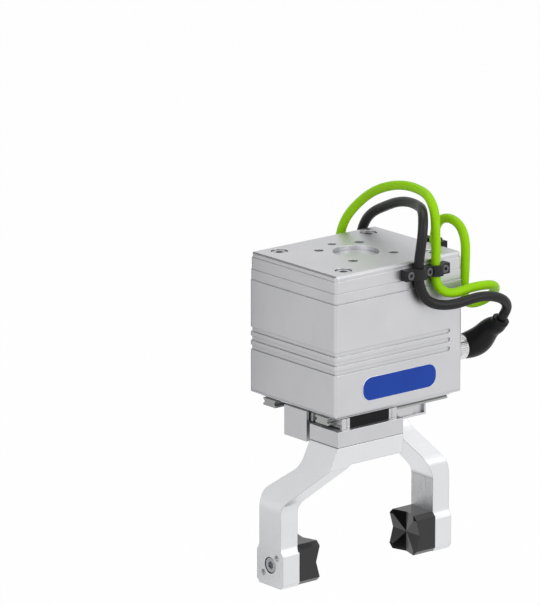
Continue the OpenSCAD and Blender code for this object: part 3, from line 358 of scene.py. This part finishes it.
def lead(name, route, diameter, finish):
    """A lead's jacket along its route, standing in for the CAD lead, which is hidden."""
    path = smooth_path(route)
    data = bpy.data.curves.new(name + "_jacket", "CURVE")
    data.dimensions = "3D"
    data.bevel_depth = diameter / 2 * MM
    data.bevel_resolution = JACKET_ROUNDNESS
    data.use_fill_caps = True
    spline = data.splines.new("POLY")
    spline.points.add(len(path) - 1)
    for point, place in zip(spline.points, path):
        point.co = (*place, 1.0)
    spline.use_smooth = True
    data.materials.append(finish)
    piece = in_scene(name + "_jacket", data)
    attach(piece, "housing")
    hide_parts(name)


# Node trees for detail that follows a path or repeats
RING_STEPS = 48
WIRE_SIDES = 10
RIB_SIDES = 8


def detail_group(name, inputs):
    """A new tree with its named inputs, and the node that hands them out."""
    tree = bpy.data.node_groups.new(name, "GeometryNodeTree")
    tree.interface.new_socket("Geometry", in_out="INPUT", socket_type="NodeSocketGeometry")
    for label, kind in inputs:
        tree.interface.new_socket(label, in_out="INPUT", socket_type="NodeSocket" + kind)
    tree.interface.new_socket("Finish", in_out="INPUT", socket_type="NodeSocketMaterial")
    tree.interface.new_socket("Geometry", in_out="OUTPUT", socket_type="NodeSocketGeometry")
    return tree, node(tree, "NodeGroupInput", (-1000, 0))


def end_group(tree, start, geometry):
    """Close a tree: real, smooth and painted faces."""
    real = node(tree, "GeometryNodeRealizeInstances", (400, 0))
    linked(tree, geometry, real.inputs["Geometry"])
    smooth = node(tree, "GeometryNodeSetShadeSmooth", (600, 0))
    linked(tree, real.outputs["Geometry"], smooth.inputs["Geometry"])
    paint = node(tree, "GeometryNodeSetMaterial", (800, 0))
    linked(tree, smooth.outputs["Geometry"], paint.inputs["Geometry"])
    linked(tree, start.outputs["Finish"], paint.inputs["Material"])
    linked(tree, paint.outputs["Geometry"], node(tree, "NodeGroupOutput", (1000, 0)).inputs["Geometry"])
    return tree


def thickness(tree, place):
    """The thickness that path_mesh stores at each point."""
    stored = node(tree, "GeometryNodeInputNamedAttribute", place, data_type="FLOAT")
    stored.inputs["Name"].default_value = "thickness"
    return stored.outputs["Attribute"]


def sweep_group():
    """A round bar along the path, as thick at each point as the path says."""
    tree, start = detail_group("round_sweep", [("Sides", "Int")])
    path = node(tree, "GeometryNodeMeshToCurve", (-600, 0))
    linked(tree, start.outputs["Geometry"], path.inputs["Mesh"])
    section = node(tree, "GeometryNodeCurvePrimitiveCircle", (-400, -300))
    section.inputs["Radius"].default_value = 1.0
    linked(tree, start.outputs["Sides"], section.inputs["Resolution"])
    bar = node(tree, "GeometryNodeCurveToMesh", (0, 0))
    bar.inputs["Fill Caps"].default_value = True
    linked(tree, path.outputs["Curve"], bar.inputs["Curve"])
    linked(tree, thickness(tree, (-300, -100)), bar.inputs["Scale"])
    linked(tree, section.outputs["Curve"], bar.inputs["Profile Curve"])
    return end_group(tree, start, bar.outputs["Mesh"])


def rings_group():
    """Rings in a row along the path, each as wide as the path's thickness there."""
    tree, start = detail_group("ring_row", [("Count", "Int"), ("Wire", "Float")])
    path = node(tree, "GeometryNodeMeshToCurve", (-600, 0))
    linked(tree, start.outputs["Geometry"], path.inputs["Mesh"])
    row = node(tree, "GeometryNodeCurveToPoints", (-400, 0), mode="COUNT")
    linked(tree, path.outputs["Curve"], row.inputs["Curve"])
    linked(tree, start.outputs["Count"], row.inputs["Count"])
    wide = node(tree, "GeometryNodeCurvePrimitiveCircle", (-400, -300))
    wide.inputs["Radius"].default_value = 1.0
    wide.inputs["Resolution"].default_value = RING_STEPS
    wire = node(tree, "GeometryNodeCurvePrimitiveCircle", (-400, -500))
    wire.inputs["Resolution"].default_value = WIRE_SIDES
    linked(tree, start.outputs["Wire"], wire.inputs["Radius"])
    ring = node(tree, "GeometryNodeCurveToMesh", (-200, -300))
    linked(tree, wide.outputs["Curve"], ring.inputs["Curve"])
    linked(tree, wire.outputs["Curve"], ring.inputs["Profile Curve"])
    placed = node(tree, "GeometryNodeInstanceOnPoints", (0, 0))
    linked(tree, row.outputs["Points"], placed.inputs["Points"])
    linked(tree, ring.outputs["Mesh"], placed.inputs["Instance"])
    linked(tree, row.outputs["Rotation"], placed.inputs["Rotation"])
    linked(tree, thickness(tree, (-200, -600)), placed.inputs["Scale"])
    return end_group(tree, start, placed.outputs["Instances"])


def ribs_group():
    """Upright ribs in a circle round every point."""
    tree, start = detail_group("rib_circle", [("Count", "Int"), ("Radius", "Float"), ("Rib", "Float"),
                                              ("Height", "Float")])
    circle = node(tree, "GeometryNodeCurvePrimitiveCircle", (-600, -200))
    linked(tree, start.outputs["Count"], circle.inputs["Resolution"])
    linked(tree, start.outputs["Radius"], circle.inputs["Radius"])
    rib = node(tree, "GeometryNodeMeshCylinder", (-600, -400))
    rib.inputs["Vertices"].default_value = RIB_SIDES
    linked(tree, start.outputs["Rib"], rib.inputs["Radius"])
    linked(tree, start.outputs["Height"], rib.inputs["Depth"])
    ring = node(tree, "GeometryNodeInstanceOnPoints", (-300, -200))
    linked(tree, circle.outputs["Curve"], ring.inputs["Points"])
    linked(tree, rib.outputs["Mesh"], ring.inputs["Instance"])
    placed = node(tree, "GeometryNodeInstanceOnPoints", (0, 0))
    linked(tree, start.outputs["Geometry"], placed.inputs["Points"])
    linked(tree, ring.outputs["Instances"], placed.inputs["Instance"])
    return end_group(tree, start, placed.outputs["Instances"])


def path_mesh(points, closed=False):
    """A line of points, each (x, y, z, thickness) in metres."""
    mesh = bpy.data.meshes.new("path")
    joined = [(i, i + 1) for i in range(len(points) - 1)]
    if closed:
        joined.append((len(points) - 1, 0))
    mesh.from_pydata([p[:3] for p in points], joined, [])
    stored = mesh.attributes.new("thickness", "FLOAT", "POINT")
    for item, p in zip(stored.data, points):
        item.value = p[3]
    return mesh


def detail(name, mesh, tree, slot, body="housing", **values):
    """The plain mesh that a node tree makes of a path, riding on a body."""
    source = in_scene(name + "_path", mesh)
    shape = source.modifiers.new("shape", "NODES")
    shape.node_group = tree
    for item in tree.interface.items_tree:
        if item.in_out == "INPUT" and item.name in values:
            shape[item.identifier] = values[item.name]
    view = bpy.context.evaluated_depsgraph_get()
    made = bpy.data.meshes.new_from_object(source.evaluated_get(view), depsgraph=view)
    bpy.data.objects.remove(source)
    piece = in_scene(name, made)
    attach(piece, body)
    return piece


sweep = sweep_group()
ring_row = rings_group()
rib_circle = ribs_group()

# The power plug's moulding: (x, y, z, radius), from the nut through the bulb and the neck to the collar.
PLUG_BULB = [(69.9, -27, -72.5, 8.3), (74.5, -28.2, -72.1, 9.0), (79.6, -32.8, -69, 9.4), (82, -39, -62, 8.0),
             (83, -44.5, -57, 6.8), (83.4, -48.6, -54.8, 6.0), (83.6, -50.4, -53.1, 5.6)]
PLUG_COLLAR = [(83.62, -50.5, -52.9, 5.8), (83.66, -50.7, -52.5, 5.9), (83.94, -51.8, -50.4, 5.9),
               (84, -52, -50, 5.5)]
PLUG_SIDES = 48


def metres(points):
    """Points given in millimetres, in metres."""
    return [Vector(p) * MM for p in points]


def power_plug_moulding():
    """The angled plug's moulded bulb, ending in a collar round the lead."""
    path = path_mesh(smooth_path(PLUG_BULB) + metres(PLUG_COLLAR))
    moulding = detail("power_plug_moulding", path, sweep, "black_plastic", Sides=PLUG_SIDES,
                      Finish=plug_moulding)
    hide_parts("power_plug")


# Beads and thin lines, in millimetres
CORNER_STEPS = 12
BEAD_SIDES = 10
LINE_SIDES = 8
BADGE_CORNER_R = 7
BADGE_RIM_R = 0.35
BADGE_RIM_DEPTH = 0.3
GASKET_CORNER_R = 2.5
SEAM_R = 0.2
SEAM_INSET = 0.22
SEAM_DROP = 0.12
WIPER_SHADE_LINE_R = 0.45


def round_outline(low, high, radius):
    """The outline of a rounded rectangle between two opposite corners."""
    outline = []
    corners = ((high[0], high[1]), (low[0], high[1]), (low[0], low[1]), (high[0], low[1]))
    for side, (a, b) in enumerate(corners):
        centre_a = a - radius if a == high[0] else a + radius
        centre_b = b - radius if b == high[1] else b + radius
        for step in range(CORNER_STEPS + 1):
            angle = (side + step / CORNER_STEPS) * math.pi / 2
            outline.append((centre_a + math.cos(angle) * radius, centre_b + math.sin(angle) * radius))
    return outline


def badge_rim():
    """A thin pale line round the badge."""
    low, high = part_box("badge")
    y = low.y + BADGE_RIM_DEPTH * MM
    outline = round_outline((low.x, low.z), (high.x, high.z), BADGE_CORNER_R * MM)
    line = [(x, y, z, BADGE_RIM_R * MM) for x, z in outline]
    detail("badge_rim", path_mesh(line, True), sweep, "nickel", Sides=BEAD_SIDES, Finish=rim_silver)


def gasket_bead():
    """The gasket's rounded edge, which shows as a thin line between cover and housing."""
    low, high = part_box("cover_gasket")
    middle = (low.z + high.z) / 2
    radius = (high.z - low.z) / 2
    outline = round_outline((low.x, low.y), (high.x, high.y), GASKET_CORNER_R * MM)
    line = [(x, y, middle, radius) for x, y in outline]
    detail("cover_gasket_bead", path_mesh(line, True), sweep, "gasket_rubber", Sides=BEAD_SIDES,
           Finish=gasket_rubber)


def seam_shade_line(side):
    """A thin dark line between a base jaw and its finger: painted shade standing in for the shadow in the
    joint.
    """
    low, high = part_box(side + "_base_jaw")
    inset = SEAM_INSET * MM
    z = low.z - SEAM_DROP * MM
    corners = [(low.x + inset, low.y + inset), (high.x - inset, low.y + inset),
               (high.x - inset, high.y - inset), (low.x + inset, high.y - inset)]
    line = [(x, y, z, SEAM_R * MM) for x, y in corners]
    detail(side + "_seam_shade_line", path_mesh(line, True), sweep, "gasket_rubber", side + "_jaw",
           Sides=LINE_SIDES, Finish=seam_shadow)


def wiper_shade_lines(side):
    """A dark line along the foot of each wiper, where it meets the base jaw: painted shade in the gap there.
    """
    low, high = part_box(side + "_wipers")
    radius = WIPER_SHADE_LINE_R * MM
    z = low.z + radius
    for end, x in (("near", low.x), ("far", high.x)):
        line = [(x, low.y + radius, z, radius), (x, high.y - radius, z, radius)]
        detail(side + "_" + end + "_wiper_shade_line", path_mesh(line), sweep, "gasket_rubber", side + "_jaw",
               Sides=LINE_SIDES, Finish=seam_shadow)


# Rings, ribs and knurls, in millimetres. A ring's wire is a share of the ring's radius.
RING_WIRE = 0.09
TAIL_RINGS = 5
POWER_TAIL_R = 4.7
DATA_TAIL_R = 4.5
TAIL_TOP_DROP = 2
TAIL_END_DROP = 10
TAIL_END_R = 6.1
GRIP_RIBS = 28
GRIP_RIB_R = 0.35
GRIP_R = 7.5
GRIP_H = 16
GRIP_DROP = 30
DATA_PLUG_RINGS = 4
DATA_PLUG_TAIL = [(69.8, -8, -49.5, 5.8), (69.8, -8, -42.5, 4.6)]
KNURL_RIBS = 40
KNURL_RIB_R = 0.22
KNURL_H = 4.6
KNURL_DROP = 3
SCREW_HEAD_R = 5


def connector_trim(name, tail_top_r):
    """Rings on a connector's tapered tail and ribs round its coupling ring, given back with the connector."""
    low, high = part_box(name)
    x = (low.x + high.x) / 2
    y = (low.y + high.y) / 2
    tail = [(x, y, high.z - TAIL_TOP_DROP * MM, tail_top_r * MM),
            (x, y, high.z - TAIL_END_DROP * MM, TAIL_END_R * MM)]
    grip = [(x, y, high.z - GRIP_DROP * MM, 0.0)]
    rings = detail(name + "_rings", path_mesh(tail), ring_row, "black_plastic", Count=TAIL_RINGS,
                   Wire=RING_WIRE, Finish=plug_moulding)
    ribs = detail(name + "_ribs", path_mesh(grip), rib_circle, "black_plastic", Count=GRIP_RIBS,
                  Radius=GRIP_R * MM, Rib=GRIP_RIB_R * MM, Height=GRIP_H * MM, Finish=plug_moulding)
    return [nodes[name], rings, ribs]


def data_plug_rings():
    """Rings on the tail of the angled data plug."""
    detail("data_plug_rings", path_mesh(metres(DATA_PLUG_TAIL)), ring_row, "black_plastic",
           Count=DATA_PLUG_RINGS, Wire=RING_WIRE, Finish=plug_moulding)


def cover_screw_knurls():
    """Fine ribs round the head of each cover screw."""
    low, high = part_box("cover_screws")
    head_r = SCREW_HEAD_R * MM
    z = high.z - KNURL_DROP * MM
    heads = [(x, y, z, 0.0) for x in (low.x + head_r, high.x - head_r)
             for y in (low.y + head_r, high.y - head_r)]
    detail("cover_screw_knurls", path_mesh(heads), rib_circle, "screw_steel", Count=KNURL_RIBS,
           Radius=head_r, Rib=KNURL_RIB_R * MM, Height=KNURL_H * MM, Finish=screw_zinc)


power_plug_moulding()
badge_rim()
gasket_bead()
power_end = connector_trim("power_connector", POWER_TAIL_R)
data_end = connector_trim("data_connector", DATA_TAIL_R)
data_plug_rings()
cover_screw_knurls()
for jaw_side in ("left", "right"):
    seam_shade_line(jaw_side)
    wiper_shade_lines(jaw_side)
lead("power_lead", POWER_ROUTE, POWER_D, black_jacket)
lead("data_lead", DATA_ROUTE, DATA_D, green_jacket)

# Stage: pale floor, white surroundings, cards and soft lamps. Lengths in metres, and a tone of 1 is white.
FLOOR_Z = -0.30
FLOOR_HALF = 5.0
FLOOR_TONE = 0.9
FLOOR_WHITE_SHARE = 0.97
WORLD_LIGHT = 0.5
UP = (0.0, 0.0, 1.0)
WIDE_CARD_Z = FLOOR_Z + 0.002
SMALL_CARD_Z = FLOOR_Z + 0.004
LAMP_TARGET = Vector((0.0, 0.0, -0.1))


def seen_rays(tree):
    """1 for rays that show the surroundings themselves, 0 for those that light the object."""
    path = node(tree, "ShaderNodeLightPath", (-800, 200))
    first = node(tree, "ShaderNodeMath", (-600, 200), operation="MAXIMUM")
    linked(tree, path.outputs["Is Camera Ray"], first.inputs[0])
    linked(tree, path.outputs["Is Glossy Ray"], first.inputs[1])
    both = node(tree, "ShaderNodeMath", (-400, 200), operation="MAXIMUM")
    linked(tree, first.outputs[0], both.inputs[0])
    linked(tree, path.outputs["Is Transmission Ray"], both.inputs[1])
    return both.outputs[0]


def add_world():
    """Surroundings that look white, and light the object with WORLD_LIGHT only."""
    world = bpy.data.worlds.new("studio")
    world.use_nodes = True
    bpy.context.scene.world = world
    tree = world.node_tree
    background = tree.nodes["Background"]
    background.inputs["Color"].default_value = (1.0, 1.0, 1.0, 1.0)
    strength = ramp(tree, seen_rays(tree), WORLD_LIGHT, 1.0, (-200, 0), (0.0, 1.0))
    linked(tree, strength, background.inputs["Strength"])


def stage_material(name):
    """A new material without a shader, its tree, and the socket that its shader goes to."""
    material = bpy.data.materials.new(name)
    material.use_nodes = True
    tree = material.node_tree
    tree.nodes.remove(tree.nodes["Principled BSDF"])
    return material, tree, tree.nodes["Material Output"].inputs["Surface"]


def flat_sheet(name, material, half_wide, half_high, z=0.0):
    """A flat rectangle round the z axis, facing up."""
    mesh = bpy.data.meshes.new(name)
    corners = [(-half_wide, -half_high, z), (half_wide, -half_high, z),
               (half_wide, half_high, z), (-half_wide, half_high, z)]
    mesh.from_pydata(corners, [], [(0, 1, 2, 3)])
    mesh.materials.append(material)
    return in_scene(name, mesh)


def add_floor():
    """The paper floor, which looks almost white and keeps a trace of the object's shadow."""
    material, tree, surface_socket = stage_material("floor_paper")
    paper = node(tree, "ShaderNodeBsdfDiffuse", (-200, -100))
    paper.inputs["Color"].default_value = (FLOOR_TONE, FLOOR_TONE, FLOOR_TONE, 1.0)
    white = node(tree, "ShaderNodeEmission", (-200, -300))
    share = node(tree, "ShaderNodeMath", (-200, 200), operation="MULTIPLY")
    share.inputs[1].default_value = FLOOR_WHITE_SHARE
    linked(tree, seen_rays(tree), share.inputs[0])
    both = node(tree, "ShaderNodeMixShader", (0, 0))
    linked(tree, share.outputs[0], both.inputs[0])
    linked(tree, paper.outputs[0], both.inputs[1])
    linked(tree, white.outputs[0], both.inputs[2])
    linked(tree, both.outputs[0], surface_socket)
    floor = flat_sheet("floor", material, FLOOR_HALF, FLOOR_HALF, FLOOR_Z)


def add_card(name, place, size, tone, aim=UP, height=None):
    """A plain card that only shows in shiny faces, so that they don't all mirror the same white."""
    material, tree, surface_socket = stage_material(name)
    glow = node(tree, "ShaderNodeEmission", (-200, 0))
    glow.inputs["Color"].default_value = (tone, tone, tone, 1.0)
    linked(tree, glow.outputs[0], surface_socket)
    card = flat_sheet(name, material, size / 2, (height or size) / 2)
    card.location = place
    card.rotation_euler = Vector(aim).to_track_quat("Z", "Y").to_euler()
    card.visible_camera = False
    card.visible_diffuse = False
    card.visible_shadow = False


def add_lamp(name, place, size, power):
    """A soft square lamp, aimed at the gripper."""
    data = bpy.data.lights.new(name, "AREA")
    data.size = size
    data.energy = power
    lamp = in_scene(name, data)
    lamp.location = place
    lamp.rotation_euler = (LAMP_TARGET - Vector(place)).to_track_quat("-Z", "Y").to_euler()


add_world()
add_floor()
# Cards are named for where they stand, how they look or what mirrors them.
add_card("left_card", (-0.56, 0.69, WIDE_CARD_Z), 0.66, 0.77)
add_card("near_card", (-0.18, 0.27, SMALL_CARD_Z), 0.17, 0.1)
add_card("foot_card", (-0.18, 0.04, SMALL_CARD_Z), 0.14, 0.74)
add_card("corner_card", (-0.088, 0.122, -0.05), 0.036, 0.02, (0.637, -0.771, 0.0), height=0.19)
add_card("pad_card", (-0.046, 0.036, -0.230), 0.034, 0.04, (0.915, -0.307, 0.26))
add_card("groove_card", (-0.548, 0.67, -0.116), 0.1, 0.6, (0.659, -0.744, -0.104))
add_card("rim_card", (-0.27, 0.67, 0.60), 0.62, 0.0, (0.26, -0.744, -0.615))
add_card("slope_card", (-0.65, 0.73, 0.2), 0.5, 0.85, (0.57, -0.74, -0.35))
add_card("bright_card", (0.95, -0.4, 1.05), 0.6, 1.25, (-0.6, 0.25, -0.7))
add_card("back_card", (0.75, 0.9, 0.45), 0.9, 0.84, (-0.6, -0.75, -0.3))
add_lamp("front_lamp", (0.5, -1.6, 0.7), 1.2, 13.0)
add_lamp("left_lamp", (-1.6, -0.4, 0.9), 1.2, 7.0)
add_lamp("top_lamp", (0.2, 0.3, 1.8), 1.4, 11.0)
